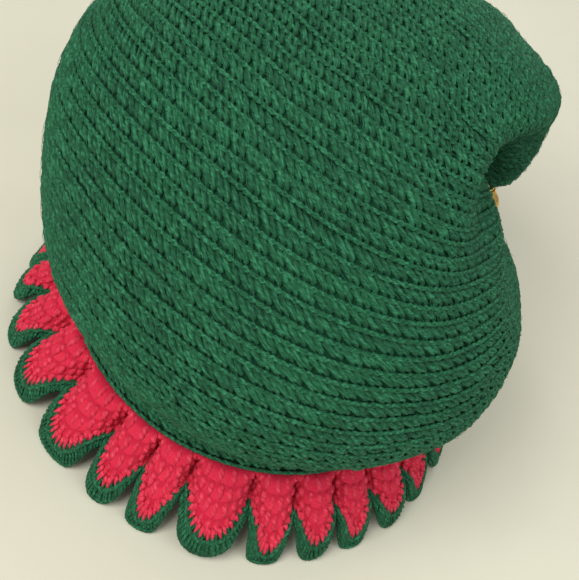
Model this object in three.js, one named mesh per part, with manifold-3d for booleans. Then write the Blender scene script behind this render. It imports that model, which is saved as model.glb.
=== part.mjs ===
import * as THREE from "three";
import { mergeVertices } from "three/addons/utils/BufferGeometryUtils.js";
import Module from "manifold-3d";

// Sizes in mm. The hat stands on the free edge of its frill, +Z up, and bends back towards +Y.
const RIM_RADIUS = 96;
const RIM_HEIGHT = 40;
const WALL = 4;

// The bag folds over towards this heading, measured from +X to +Y.
const FOLD_HEADING = 70;

// The bag: how far it reaches back, how high it rises above the rim and half its greatest width.
const RIM_BAND = 13;
const RIM_EASE = 1;
const BAG_REACH = 150;
const BAG_RISE = 172;
const BAG_HALF = 120;

// One row per section of the bag above the rim's band, to the tip, in the plane of the fold, as shares.
// outP, outZ: the long side; inP, inZ: the short side at the crease, of the reach and the rise;
// half: half the width; shift: how far the section sits to the left of the plane, of the half width;
// square: 0 is an oval, 1 is boxy.
const SECTION_SHARES = [
  { outP: -0.76, outZ: 0.238, inP: 0.74, inZ: 0.238, half: 0.967, shift: 0, square: 0 },
  { outP: -0.773, outZ: 0.366, inP: 0.727, inZ: 0.349, half: 0.992, shift: 0, square: 0.05 },
  { outP: -0.733, outZ: 0.517, inP: 0.62, inZ: 0.448, half: 0.975, shift: 0.042, square: 0.1 },
  { outP: -0.647, outZ: 0.657, inP: 0.527, inZ: 0.506, half: 0.95, shift: 0.108, square: 0.15 },
  { outP: -0.507, outZ: 0.779, inP: 0.487, inZ: 0.547, half: 0.9, shift: 0.175, square: 0.2 },
  { outP: -0.32, outZ: 0.878, inP: 0.48, inZ: 0.581, half: 0.842, shift: 0.208, square: 0.25 },
  { outP: -0.1, outZ: 0.953, inP: 0.493, inZ: 0.605, half: 0.775, shift: 0.217, square: 0.25 },
  { outP: 0.133, outZ: 0.994, inP: 0.52, inZ: 0.616, half: 0.717, shift: 0.2, square: 0.25 },
  { outP: 0.36, outZ: 1, inP: 0.553, inZ: 0.622, half: 0.667, shift: 0.167, square: 0.2 },
  { outP: 0.573, outZ: 0.959, inP: 0.593, inZ: 0.616, half: 0.6, shift: 0.117, square: 0.15 },
  { outP: 0.76, outZ: 0.878, inP: 0.647, inZ: 0.593, half: 0.525, shift: 0.058, square: 0.1 },
  { outP: 0.887, outZ: 0.762, inP: 0.707, inZ: 0.552, half: 0.442, shift: -0.008, square: 0 },
  { outP: 0.96, outZ: 0.645, inP: 0.767, inZ: 0.5, half: 0.358, shift: -0.083, square: 0 },
  { outP: 0.993, outZ: 0.541, inP: 0.813, inZ: 0.442, half: 0.258, shift: -0.183, square: 0 },
  { outP: 1, outZ: 0.448, inP: 0.847, inZ: 0.378, half: 0.167, shift: -0.267, square: 0 },
  { outP: 0.987, outZ: 0.372, inP: 0.873, inZ: 0.334, half: 0.1, shift: -0.321, square: 0 },
  { outP: 0.967, outZ: 0.326, inP: 0.9, inZ: 0.305, half: 0.05, shift: -0.346, square: 0 },
];
const rimRow = { outP: -RIM_RADIUS, outZ: 0, inP: RIM_RADIUS, inZ: 0, half: RIM_RADIUS, shift: 0, square: 0 };
const SECTIONS = [
  rimRow,
  { ...rimRow, outZ: RIM_BAND, inP: RIM_RADIUS - RIM_EASE, inZ: RIM_BAND },
  ...SECTION_SHARES.map((row) => ({
    outP: row.outP * BAG_REACH,
    outZ: row.outZ * BAG_RISE,
    inP: row.inP * BAG_REACH,
    inZ: row.inZ * BAG_RISE,
    half: row.half * BAG_HALF,
    shift: row.shift * BAG_HALF,
    square: row.square,
  })),
];
const LEAST_HALF = 0.4;
const OUTER_RINGS = 32;
const LINING_STEP = 2;
const AROUND = 44;

// The right end of the crease: where it is, and how far it cuts in.
const PINCH_SHARE = 0.465;
const PINCH_TURN = -1.8;
const PINCH_DEPTH = 29;
const PINCH_ALONG = 0.07;
const PINCH_AROUND = 0.5;

// Soft folds that run out from the crease over both sides of the bag.
const CREASE_FOLDS = 5;
const CREASE_FOLD_DEPTH = 2.2;
const CREASE_FOLD_TURN = Math.PI * 0.62;
const CREASE_FOLD_REACH = 1.3;
const CREASE_FOLD_SHARE = 0.45;
const CREASE_FOLD_ALONG = 0.16;
const CREASE_FOLD_LEAD = 14;

// The frill: one row per fold, from the back round by the left. span: its width as a share of an even fold;
// reach: how far it swings in and out, as a share; lift: how high its edge is carried, as a share.
const FOLDS = [
  { span: 1, reach: 1, lift: 0 },
  { span: 0.95, reach: 0.95, lift: 0.3 },
  { span: 1.05, reach: 1.05, lift: 0 },
  { span: 0.95, reach: 1, lift: 0.5 },
  { span: 1, reach: 0.9, lift: 0.6 },
  { span: 0.95, reach: 1, lift: 0.1 },
  { span: 1, reach: 1, lift: 0.6 },
  { span: 0.95, reach: 0.95, lift: 0.1 },
  { span: 1, reach: 1, lift: 0.7 },
  { span: 1.1, reach: 0.9, lift: 0.2 },
  { span: 1.35, reach: 0.75, lift: 0.4 },
  { span: 1.5, reach: 0.7, lift: 0.1 },
  { span: 0.95, reach: 1.05, lift: 0.6 },
  { span: 0.9, reach: 1.1, lift: 0 },
  { span: 1.45, reach: 0.85, lift: 0.9 },
  { span: 0.95, reach: 1.05, lift: 0 },
  { span: 0.95, reach: 1, lift: 0.6 },
  { span: 0.9, reach: 1.05, lift: 0.1 },
  { span: 1.05, reach: 0.95, lift: 0.7 },
  { span: 0.95, reach: 1, lift: 0 },
  { span: 1, reach: 0.95, lift: 0.6 },
  { span: 0.95, reach: 1, lift: 0.1 },
  { span: 1, reach: 1, lift: 0.5 },
  { span: 1.1, reach: 1, lift: 0 },
  { span: 0.95, reach: 0.9, lift: 0.3 },
  { span: 1.05, reach: 1.05, lift: 0 },
  { span: 0.95, reach: 0.95, lift: 0.4 },
  { span: 1.05, reach: 1, lift: 0.1 },
];
const FRILL_WALL = 3.2;
const SEAM_GAP = 0.5;
const FRILL_SEAM_DROP = FRILL_WALL / 2 + SEAM_GAP;
const FRILL_SPREAD = 18;
const EDGE_RADIUS = RIM_RADIUS + FRILL_SPREAD;
const EDGE_LIFT = 10;
const EDGE_HEIGHT = 11.5;
const CREST_DROP = 17;
const TROUGH_RISE = 5.9;
const CREST_SAG = 5;
const TROUGH_SAG = 1.6;
const TROUGH_TUCK = 12.4;
const LEFT_SPREAD = 3;
const SPREAD_HEADING = 64;
const MEANDER_ANGLE = 1.36;
const OPENING_POWER = 0.75;
const BORDER_FLARE = 0.139;
const FLARE_FROM = 0.68;
const EDGING_SHARE = 0.19;
const GAP_SHARE = 0.049;
const POINTS_PER_FOLD = 9;
const EDGING_ROWS = 1;
const FRILL_ROWS = 3;
const MEANDER_STEPS = 60;
const SLOPE_STEP = 0.01;

const BELL_RADIUS = 10;
const BELL_WALL = 0.7;
const BELL_SLOT = 2.4;
const BELL_AROUND = 16;
const BELL_RINGS = 10;
const BELL_EYE_RADIUS = 2.6;
const BELL_EYE_WIRE = 0.7;
const EYE_SINK = 1;
const EYE_RISE = BELL_RADIUS + BELL_EYE_RADIUS - EYE_SINK;
const TIE_RADIUS = 1.1;
const TIE_LOOP = 2.6;
const TIE_CLEARANCE = 0.3;
const TIE_GAP = 0.6;
const TIE_OFFSET = TIE_LOOP + BELL_EYE_RADIUS - TIE_RADIUS - BELL_EYE_WIRE - TIE_CLEARANCE;
const TIE_DROP = TIE_OFFSET + TIE_LOOP + TIE_RADIUS + TIE_GAP;
const WIRE_SIDES = 8;
const RING_STEPS = 14;

const GREEN = "#226242";
const RED = "#e12d4b";
const BRASS = "#c8a860";
const YARN_FINISH = { roughness: 0.9, metalness: 0 };
const BRASS_FINISH = { roughness: 0.35, metalness: 0.9 };

const radians = THREE.MathUtils.degToRad;
const HEADING = new THREE.Vector3(Math.cos(radians(FOLD_HEADING)), Math.sin(radians(FOLD_HEADING)), 0);
const LEFT = new THREE.Vector3(-HEADING.y, HEADING.x, 0);

function finish(name, geometry, colour, look) {
  geometry.computeVertexNormals();
  const material = new THREE.MeshStandardMaterial({ color: colour, ...look });
  const mesh = new THREE.Mesh(geometry, material);
  mesh.name = name;
  return mesh;
}

function fromGrid(points, triangles) {
  const geometry = new THREE.BufferGeometry();
  const flat = points.flatMap((p) => [p.x, p.y, p.z]);
  geometry.setAttribute("position", new THREE.Float32BufferAttribute(flat, 3));
  geometry.setIndex(triangles);
  return geometry;
}

// A row of the table at a share of the bag's length, on a smooth curve through the rows.
function sectionAt(share) {
  const last = SECTIONS.length - 1;
  const at = Math.min(share * last, last - 1e-9);
  const i = Math.floor(at);
  const t = at - i;
  const rows = [i - 1, i, i + 1, i + 2].map((k) => SECTIONS[Math.min(Math.max(k, 0), last)]);
  const row = {};
  for (const key of Object.keys(SECTIONS[0])) {
    const [a, b, c, d] = rows.map((r) => r[key]);
    const bend = 2 * a - 5 * b + 4 * c - d;
    const twist = 3 * b - a - 3 * c + d;
    row[key] = (2 * b + (c - a) * t + bend * t ** 2 + twist * t ** 3) / 2;
  }
  return row;
}

// A point on the bag. share runs from rim to tip, turn goes round from the long side,
// inset is how deep it lies in the wall.
function bagPoint(share, turn, inset) {
  const row = sectionAt(share);
  const long = HEADING.clone().multiplyScalar(row.outP).setZ(RIM_HEIGHT + row.outZ);
  const short = HEADING.clone().multiplyScalar(row.inP).setZ(RIM_HEIGHT + row.inZ);
  const middle = long.clone().add(short).multiplyScalar(0.5).addScaledVector(LEFT, row.shift);
  const outwards = long.clone().sub(short);
  const deep = Math.max(outwards.length() / 2 - inset, LEAST_HALF);
  outwards.normalize();
  const wide = Math.max(row.half - inset, LEAST_HALF);
  const c = Math.cos(turn);
  const s = Math.sin(turn);
  const power = 2 + 2 * Math.max(row.square, 0);
  const size = (Math.abs(c) ** power + Math.abs(s) ** power) ** (-1 / power);
  const rise = Math.exp(-(((share - CREASE_FOLD_SHARE) / CREASE_FOLD_ALONG) ** 2));
  const nearCrease = Math.exp(-(((Math.abs(turn) - CREASE_FOLD_TURN) / CREASE_FOLD_REACH) ** 2));
  const wave = Math.sin(CREASE_FOLDS * turn + CREASE_FOLD_LEAD * share);
  const fold = CREASE_FOLD_DEPTH * rise * nearCrease * wave;
  const pinchAlong = Math.exp(-(((share - PINCH_SHARE) / PINCH_ALONG) ** 2));
  const pinch = PINCH_DEPTH * pinchAlong * Math.exp(-(((turn - PINCH_TURN) / PINCH_AROUND) ** 2));
  const moved = fold - pinch;
  return middle
    .addScaledVector(outwards, c * (deep * size + moved))
    .addScaledVector(LEFT, s * (wide * size + moved));
}

// The bag as one closed wall: the outside from rim to tip, the tip, the inside back to the rim.
function bag() {
  const points = [];
  const rings = [];
  const addRing = (share, inset) => {
    rings.push(points.length);
    for (let j = 0; j < AROUND; j++) {
      points.push(bagPoint(share, (2 * Math.PI * j) / AROUND - Math.PI, inset));
    }
  };
  for (let i = 0; i <= OUTER_RINGS; i++) addRing(i / OUTER_RINGS, 0);
  for (let i = OUTER_RINGS - LINING_STEP; i >= 0; i--) {
    const nearPinch = Math.abs(i / OUTER_RINGS - PINCH_SHARE) < 2 * PINCH_ALONG;
    if (i % LINING_STEP === 0 || nearPinch) addRing(i / OUTER_RINGS, WALL);
  }
  const triangles = [];
  const band = (a, b) => {
    for (let j = 0; j < AROUND; j++) {
      const k = (j + 1) % AROUND;
      triangles.push(a + j, b + j, a + k, a + k, b + j, b + k);
    }
  };
  const cap = (ring, towardsTip) => {
    const centre = new THREE.Vector3();
    for (let j = 0; j < AROUND; j++) centre.addScaledVector(points[ring + j], 1 / AROUND);
    const tip = points.push(centre) - 1;
    for (let j = 0; j < AROUND; j++) {
      const k = (j + 1) % AROUND;
      if (towardsTip) triangles.push(ring + j, tip, ring + k);
      else triangles.push(ring + j, ring + k, tip);
    }
  };
  for (let i = 0; i < OUTER_RINGS; i++) band(rings[i], rings[i + 1]);
  cap(rings[OUTER_RINGS], true);
  cap(rings[OUTER_RINGS + 1], false);
  for (let i = OUTER_RINGS + 1; i < rings.length - 1; i++) band(rings[i], rings[i + 1]);
  band(rings[rings.length - 1], rings[0]);
  return fromGrid(points, triangles);
}

// One fold of a winding edge whose direction swings to and fro by an angle, for a fold 1 wide.
function meander(angle) {
  const half = 2 * MEANDER_STEPS;
  const along = [0];
  const out = [0];
  for (let i = 0; i < half; i++) {
    const heading = angle * Math.sin((2 * Math.PI * (i + 0.5)) / half);
    along.push(along[i] + Math.cos(heading));
    out.push(out[i] + Math.sin(heading));
  }
  const width = along[half];
  const middle = out[MEANDER_STEPS] / 2;
  return {
    along: along.map((x) => x / width),
    out: out.map((y) => (y - middle) / width),
    swing: middle / width,
  };
}

// An amount that is +crest on a crest (share 1), -trough in a trough (share -1) and smooth in between.
function swung(crest, trough, share) {
  return ((crest + trough) * share + (crest - trough) * share ** 2) / 2;
}

const meanders = new Map();
const spanSum = FOLDS.reduce((sum, f) => sum + f.span, 0);

// The middle of the cloth of the frill: at counts folds from the back,
// depth runs from the seam (0) to the free edge (1).
function frillPoint(at, depth) {
  const count = FOLDS.length;
  const place = ((at % count) + count) % count;
  const i = Math.floor(place);
  const fold = FOLDS[i];
  const open = Math.max(depth, 0) ** OPENING_POWER;
  const key = open.toFixed(5);
  if (!meanders.has(key)) meanders.set(key, meander(MEANDER_ANGLE * open));
  const wave = meanders.get(key);
  const step = (place - i) * 2 * MEANDER_STEPS;
  const k = Math.min(Math.floor(step), 2 * MEANDER_STEPS - 1);
  const between = (list) => list[k] + (list[k + 1] - list[k]) * (step - k);
  const before = FOLDS.slice(0, i).reduce((sum, f) => sum + f.span, 0);
  const along = between(wave.along);
  const flare = THREE.MathUtils.smoothstep(depth, FLARE_FROM, 1) * BORDER_FLARE;
  const widened = along - flare * Math.sin(2 * Math.PI * along);
  const turn = ((before + fold.span * widened) / spanSum) * 2 * Math.PI;
  const ease = Math.sin(Math.PI * (place - i)) ** 2;
  const next = FOLDS[(i + 1) % count];
  const last = FOLDS[(i + count - 1) % count];
  const side = place - i < 0.5 ? last : next;
  const reach = fold.reach * ease + ((fold.reach + side.reach) / 2) * (1 - ease);
  const span = fold.span * ease + ((fold.span + side.span) / 2) * (1 - ease);
  const lift = EDGE_LIFT * (fold.lift * ease + ((fold.lift + side.lift) / 2) * (1 - ease));
  const foldWidth = (2 * Math.PI * EDGE_RADIUS * span) / spanSum;
  const out = between(wave.out) * foldWidth * reach;
  const share = wave.swing > 0 ? between(wave.out) / wave.swing : 0;
  const spread = LEFT_SPREAD * Math.max(Math.cos(turn - radians(SPREAD_HEADING)), 0) ** 2;
  const bulge = Math.sin(Math.PI * depth);
  const tuck = TROUGH_TUCK * bulge * Math.min(share, 0) ** 2;
  const radius = THREE.MathUtils.lerp(RIM_RADIUS - WALL / 2, EDGE_RADIUS + spread, open) + out - tuck;
  const top = RIM_HEIGHT - FRILL_SEAM_DROP;
  const carried = (lift * (1 + share)) / 2;
  const bottom = EDGE_HEIGHT + carried - swung(CREST_DROP, TROUGH_RISE, share);
  const height = THREE.MathUtils.lerp(top, bottom, depth) + bulge * swung(CREST_SAG, TROUGH_SAG, share);
  return new THREE.Vector3(radius * Math.sin(-turn), radius * Math.cos(turn), height);
}

// A ring of cloth of one thickness between two depths, standing on the floor where it would reach below it.
function frillBand(from, to, rows) {
  const side = (at, depth, way) => {
    const p = frillPoint(at, depth);
    const along = frillPoint(at + SLOPE_STEP, depth).sub(frillPoint(at - SLOPE_STEP, depth));
    const down = frillPoint(at, depth + SLOPE_STEP).sub(frillPoint(at, Math.max(depth - SLOPE_STEP, 0)));
    const out = along.cross(down).normalize();
    p.addScaledVector(out, (way * FRILL_WALL) / 2);
    p.z = Math.max(p.z, 0);
    return p;
  };
  const points = [];
  const loop = [];
  for (let i = 0; i <= rows; i++) loop.push([from + ((to - from) * i) / rows, -1]);
  for (let i = rows; i >= 0; i--) loop.push([from + ((to - from) * i) / rows, 1]);
  const around = FOLDS.length * POINTS_PER_FOLD;
  for (let j = 0; j < around; j++) {
    for (const [depth, way] of loop) points.push(side(j / POINTS_PER_FOLD, depth, way));
  }
  const triangles = [];
  const n = loop.length;
  for (let j = 0; j < around; j++) {
    const a = j * n;
    const b = ((j + 1) % around) * n;
    for (let i = 0; i < n; i++) {
      const k = (i + 1) % n;
      triangles.push(a + i, a + k, b + i, a + k, b + k, b + i);
    }
  }
  return fromGrid(points, triangles);
}

const wasm = await Module();
wasm.setup();

function toSolid(geometry) {
  const bare = geometry.clone().deleteAttribute("normal").deleteAttribute("uv");
  const merged = mergeVertices(bare, 1e-4);
  return new wasm.Manifold(
    new wasm.Mesh({
      numProp: 3,
      vertProperties: merged.attributes.position.array,
      triVerts: new Uint32Array(merged.index.array),
    }),
  );
}

function fromSolid(solid) {
  const mesh = solid.getMesh();
  const geometry = new THREE.BufferGeometry();
  geometry.setAttribute("position", new THREE.BufferAttribute(mesh.vertProperties, 3));
  geometry.setIndex(new THREE.BufferAttribute(mesh.triVerts, 1));
  return geometry;
}

const tipRow = SECTIONS[SECTIONS.length - 1];
const tip = HEADING.clone()
  .multiplyScalar((tipRow.outP + tipRow.inP) / 2)
  .addScaledVector(LEFT, tipRow.shift)
  .setZ(RIM_HEIGHT + (tipRow.outZ + tipRow.inZ) / 2);
const eyeCentre = tip.clone().add(new THREE.Vector3(0, 0, -TIE_DROP));
const bellCentre = eyeCentre.clone().add(new THREE.Vector3(0, 0, -EYE_RISE));

// The bell: a thin ball with crossed slots below and a wire eye on top.
function bell() {
  const ball = toSolid(new THREE.SphereGeometry(BELL_RADIUS, BELL_AROUND, BELL_RINGS));
  const hollow = toSolid(new THREE.SphereGeometry(BELL_RADIUS - BELL_WALL, BELL_AROUND, BELL_RINGS));
  const longCut = new THREE.BoxGeometry(BELL_RADIUS * 3, BELL_SLOT, BELL_RADIUS);
  longCut.translate(0, 0, -BELL_RADIUS);
  const slot = toSolid(longCut);
  const cross = toSolid(longCut.clone().rotateZ(Math.PI / 2));
  const eye = toSolid(
    new THREE.TorusGeometry(BELL_EYE_RADIUS, BELL_EYE_WIRE, WIRE_SIDES, RING_STEPS)
      .rotateX(Math.PI / 2)
      .translate(0, 0, EYE_RISE),
  );
  return fromSolid(ball.add(eye).subtract(hollow).subtract(slot).subtract(cross));
}

const parts = new THREE.Group();
parts.add(finish("crown", bag(), GREEN, YARN_FINISH));
const edgingFrom = 1 - EDGING_SHARE;
const ruffle = frillBand(0, edgingFrom - GAP_SHARE / 2, FRILL_ROWS);
const edging = frillBand(edgingFrom + GAP_SHARE / 2, 1, EDGING_ROWS);
parts.add(finish("ruffle", ruffle, RED, YARN_FINISH));
parts.add(finish("ruffle_edging", edging, GREEN, YARN_FINISH));
const bellMesh = finish("bell", bell(), BRASS, BRASS_FINISH);
bellMesh.position.copy(bellCentre);
parts.add(bellMesh);
const tie = new THREE.TorusGeometry(TIE_LOOP, TIE_RADIUS, WIRE_SIDES, RING_STEPS).rotateY(Math.PI / 2);
const tieMesh = finish("bell_tie", tie, GREEN, YARN_FINISH);
tieMesh.position.copy(eyeCentre).add(new THREE.Vector3(0, 0, TIE_OFFSET));
parts.add(tieMesh);

// The origin is below the middle of the whole hat.
const middle = new THREE.Box3().setFromObject(parts, true).getCenter(new THREE.Vector3());
for (const mesh of parts.children) mesh.position.sub(middle.clone().setZ(0));
export default parts;
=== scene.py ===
import math

import bpy
import numpy as np
from bpy.props import FloatProperty, FloatVectorProperty, IntProperty, PointerProperty
from mathutils import Matrix, Vector


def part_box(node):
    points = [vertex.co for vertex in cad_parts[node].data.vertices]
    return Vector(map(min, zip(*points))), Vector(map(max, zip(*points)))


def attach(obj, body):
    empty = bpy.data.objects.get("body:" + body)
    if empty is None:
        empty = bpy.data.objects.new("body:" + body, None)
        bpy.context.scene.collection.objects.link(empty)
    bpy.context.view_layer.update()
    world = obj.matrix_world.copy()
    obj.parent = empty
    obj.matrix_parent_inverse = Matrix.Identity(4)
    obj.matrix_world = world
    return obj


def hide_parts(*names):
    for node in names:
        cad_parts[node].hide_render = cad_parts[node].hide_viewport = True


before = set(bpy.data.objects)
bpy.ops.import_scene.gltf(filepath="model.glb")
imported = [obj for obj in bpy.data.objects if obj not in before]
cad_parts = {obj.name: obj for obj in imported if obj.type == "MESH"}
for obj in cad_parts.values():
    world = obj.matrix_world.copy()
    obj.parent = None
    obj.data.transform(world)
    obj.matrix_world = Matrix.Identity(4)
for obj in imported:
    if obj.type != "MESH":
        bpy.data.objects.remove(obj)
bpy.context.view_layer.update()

bl_info = {
    "name": "Crochet elf hat",
    "version": (1, 0, 0),
    "blender": (4, 5, 0),
    "location": "View3D > Sidebar > Elf hat",
    "description": "Works the stitches, frill and bell of a crochet elf hat over its CAD form",
    "category": "Object",
}

# Sizes in mm, as in the part's source: the bag's sections, the frill's folds and the cloth's thickness.
PLACE = (3.262, -7.899, 0.0)
RIM_RADIUS = 96.0
RIM_HEIGHT = 40.0
RIM_BAND = 13.0
RIM_EASE = 1.0
WALL = 4.0
FOLD_HEADING = 70.0
BAG_REACH = 150.0
BAG_RISE = 172.0
BAG_HALF = 120.0
SECTION_KEYS = ("outP", "outZ", "inP", "inZ", "half", "shift", "square")
SECTION_SHARES = np.array(
    [
        (-0.76, 0.238, 0.74, 0.238, 0.967, 0, 0),
        (-0.773, 0.366, 0.727, 0.349, 0.992, 0, 0.05),
        (-0.733, 0.517, 0.62, 0.448, 0.975, 0.042, 0.1),
        (-0.647, 0.657, 0.527, 0.506, 0.95, 0.108, 0.15),
        (-0.507, 0.779, 0.487, 0.547, 0.9, 0.175, 0.2),
        (-0.32, 0.878, 0.48, 0.581, 0.842, 0.208, 0.25),
        (-0.1, 0.953, 0.493, 0.605, 0.775, 0.217, 0.25),
        (0.133, 0.994, 0.52, 0.616, 0.717, 0.2, 0.25),
        (0.36, 1, 0.553, 0.622, 0.667, 0.167, 0.2),
        (0.573, 0.959, 0.593, 0.616, 0.6, 0.117, 0.15),
        (0.76, 0.878, 0.647, 0.593, 0.525, 0.058, 0.1),
        (0.887, 0.762, 0.707, 0.552, 0.442, -0.008, 0),
        (0.96, 0.645, 0.767, 0.5, 0.358, -0.083, 0),
        (0.993, 0.541, 0.813, 0.442, 0.258, -0.183, 0),
        (1, 0.448, 0.847, 0.378, 0.167, -0.267, 0),
        (0.987, 0.372, 0.873, 0.334, 0.1, -0.321, 0),
        (0.967, 0.326, 0.9, 0.305, 0.05, -0.346, 0),
    ]
)
SECTION_SIZES = (BAG_REACH, BAG_RISE, BAG_REACH, BAG_RISE, BAG_HALF, BAG_HALF, 1)
SECTIONS = np.concatenate(
    [
        [(-RIM_RADIUS, 0, RIM_RADIUS, 0, RIM_RADIUS, 0, 0)],
        [(-RIM_RADIUS, RIM_BAND, RIM_RADIUS - RIM_EASE, RIM_BAND, RIM_RADIUS, 0, 0)],
        SECTION_SHARES * SECTION_SIZES,
    ]
)
PINCH = {"share": 0.465, "turn": -1.8, "depth": 29.0, "along": 0.07, "around": 0.5}
CREASE = {
    "folds": 5, "depth": 2.2, "reach": 1.3, "share": 0.45, "along": 0.16, "turn": math.pi * 0.62,
    "lead": 14,
}
# One row per fold of the frill, as shares: its width of an even fold, its swing and its edge's lift.
FOLDS = np.array(
    [
        (1, 1, 0), (0.95, 0.95, 0.3), (1.05, 1.05, 0), (0.95, 1, 0.5), (1, 0.9, 0.6),
        (0.95, 1, 0.1), (1, 1, 0.6), (0.95, 0.95, 0.1), (1, 1, 0.7), (1.1, 0.9, 0.2),
        (1.35, 0.75, 0.4), (1.5, 0.7, 0.1), (0.95, 1.05, 0.6), (0.9, 1.1, 0), (1.45, 0.85, 0.9),
        (0.95, 1.05, 0), (0.95, 1, 0.6), (0.9, 1.05, 0.1), (1.05, 0.95, 0.7), (0.95, 1, 0),
        (1, 0.95, 0.6), (0.95, 1, 0.1), (1, 1, 0.5), (1.1, 1, 0), (0.95, 0.9, 0.3),
        (1.05, 1.05, 0), (0.95, 0.95, 0.4), (1.05, 1, 0.1),
    ]
)
FRILL_WALL = 3.2
SEAM_GAP = 0.5
SEAM_DROP = FRILL_WALL / 2 + SEAM_GAP
FRILL_SPREAD = 18.0
EDGE = {
    "radius": RIM_RADIUS + FRILL_SPREAD, "height": 11.5, "crest": 17.0, "trough": 5.9,
    "spread": 3.0, "heading": 64.0, "lift": 10.0,
}
SAG = {"crest": 5.0, "trough": 1.6, "tuck": 12.4}
MEANDER_ANGLE = 1.36
BORDER_FLARE = 0.139
FLARE_FROM = 0.68
EDGING_SHARE = 0.19
BORDER_SHARE = 0.28
OPENING_POWER = 0.75
MM = 0.001
# Soft dents of the slack cloth: depth in mm, waves round the bag, turns along it, and where each starts.
SLACK = ((0.9, 3, 8.0, 0.4), (0.7, 5, -13.0, 2.1), (0.6, 8, 17.0, 4.0), (0.35, 13, -24.0, 1.2))
# How finely the cloths and the lines that they follow are laid out.
BAG_ROWS = 360
BAG_COLS = 720
FRILL_COLS = 2520
RED_ROWS = 40
EDGING_ROWS = 24
LINE_STEPS = 900
MEANDER_STEPS = 120
LENGTH_STEPS = 60
# The least half width of the bag in mm, and the least length that is divided by.
THINNEST = 0.4
TINY = 1e-9


def linear(hex_colour):
    """An sRGB hex colour as the linear colour that a shader takes."""
    raw = [int(hex_colour[i : i + 2], 16) / 255 for i in (1, 3, 5)]
    return tuple(c / 12.92 if c <= 0.04045 else ((c + 0.055) / 1.055) ** 2.4 for c in raw) + (1.0,)


def smooth_rows(table, share):
    """The rows of a table on a smooth curve through them, at shares from 0 to 1."""
    last = len(table) - 1
    at = np.clip(np.asarray(share, float), 0, 1 - TINY) * last
    i = np.floor(at).astype(int)
    t = (at - i)[..., None]
    a, b, c, d = (table[np.clip(i + k, 0, last)] for k in (-1, 0, 1, 2))
    bend = 2 * a - 5 * b + 4 * c - d
    twist = 3 * b - a - 3 * c + d
    return (2 * b + (c - a) * t + bend * t**2 + twist * t**3) / 2


def unit(vectors):
    """The vectors at a length of 1."""
    return vectors / np.maximum(np.linalg.norm(vectors, axis=-1, keepdims=True), TINY)


def run_along(line):
    """How far each point of a line is from its start, along the line."""
    return np.concatenate([[0], np.cumsum(np.linalg.norm(np.diff(line, axis=0), axis=1))])


def bell_curve(value, middle, width):
    """1 at the middle, falling away smoothly within a few widths of it."""
    return np.exp(-(((value - middle) / width) ** 2))


def bag_point(share, turn, inset):
    """Points of the bag inset mm below its skin.

    The share runs from rim to tip, and the turn goes round from the long side.
    """
    row = dict(zip(SECTION_KEYS, np.moveaxis(smooth_rows(SECTIONS, share), -1, 0)))
    heading = math.radians(FOLD_HEADING)
    ahead = np.array([math.cos(heading), math.sin(heading), 0.0])
    left = np.array([-ahead[1], ahead[0], 0.0])
    up = np.array([0.0, 0.0, 1.0])
    far, near = (
        row[side + "P"][..., None] * ahead + (RIM_HEIGHT + row[side + "Z"])[..., None] * up
        for side in ("out", "in")
    )
    middle = (far + near) / 2 + row["shift"][..., None] * left
    outwards = far - near
    length = np.linalg.norm(outwards, axis=-1, keepdims=True)
    outwards = outwards / length
    deep = np.maximum(length[..., 0] / 2 - inset, THINNEST)
    wide = np.maximum(row["half"] - inset, THINNEST)
    c, s = np.cos(turn), np.sin(turn)
    power = 2 + 2 * np.maximum(row["square"], 0)
    size = (np.abs(c) ** power + np.abs(s) ** power) ** (-1 / power)
    rise = bell_curve(share, CREASE["share"], CREASE["along"])
    near_crease = bell_curve(np.abs(turn), CREASE["turn"], CREASE["reach"])
    fold = CREASE["depth"] * rise * near_crease * np.sin(CREASE["folds"] * turn + CREASE["lead"] * share)
    along = bell_curve(share, PINCH["share"], PINCH["along"])
    moved = fold - PINCH["depth"] * along * bell_curve(turn, PINCH["turn"], PINCH["around"])
    return (
        middle
        + (c * (deep * size + moved))[..., None] * outwards
        + (s * (wide * size + moved))[..., None] * left
        + np.array(PLACE)
    )


def meander(angle, steps=MEANDER_STEPS):
    """Places along and out on one fold, 1 wide, of a winding edge whose direction swings by angle."""
    heading = angle * np.sin(2 * math.pi * (np.arange(steps) + 0.5) / steps)
    along = np.concatenate([[0], np.cumsum(np.cos(heading))])
    out = np.concatenate([[0], np.cumsum(np.sin(heading))])
    width = along[-1]
    middle = out[steps // 2] / 2
    return along / width, (out - middle) / width, max(middle / width, 1e-6)


def swung(crest, trough, share):
    """An amount that is +crest at share 1, -trough at share -1 and smooth in between."""
    return ((crest + trough) * share + (crest - trough) * share**2) / 2


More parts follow.
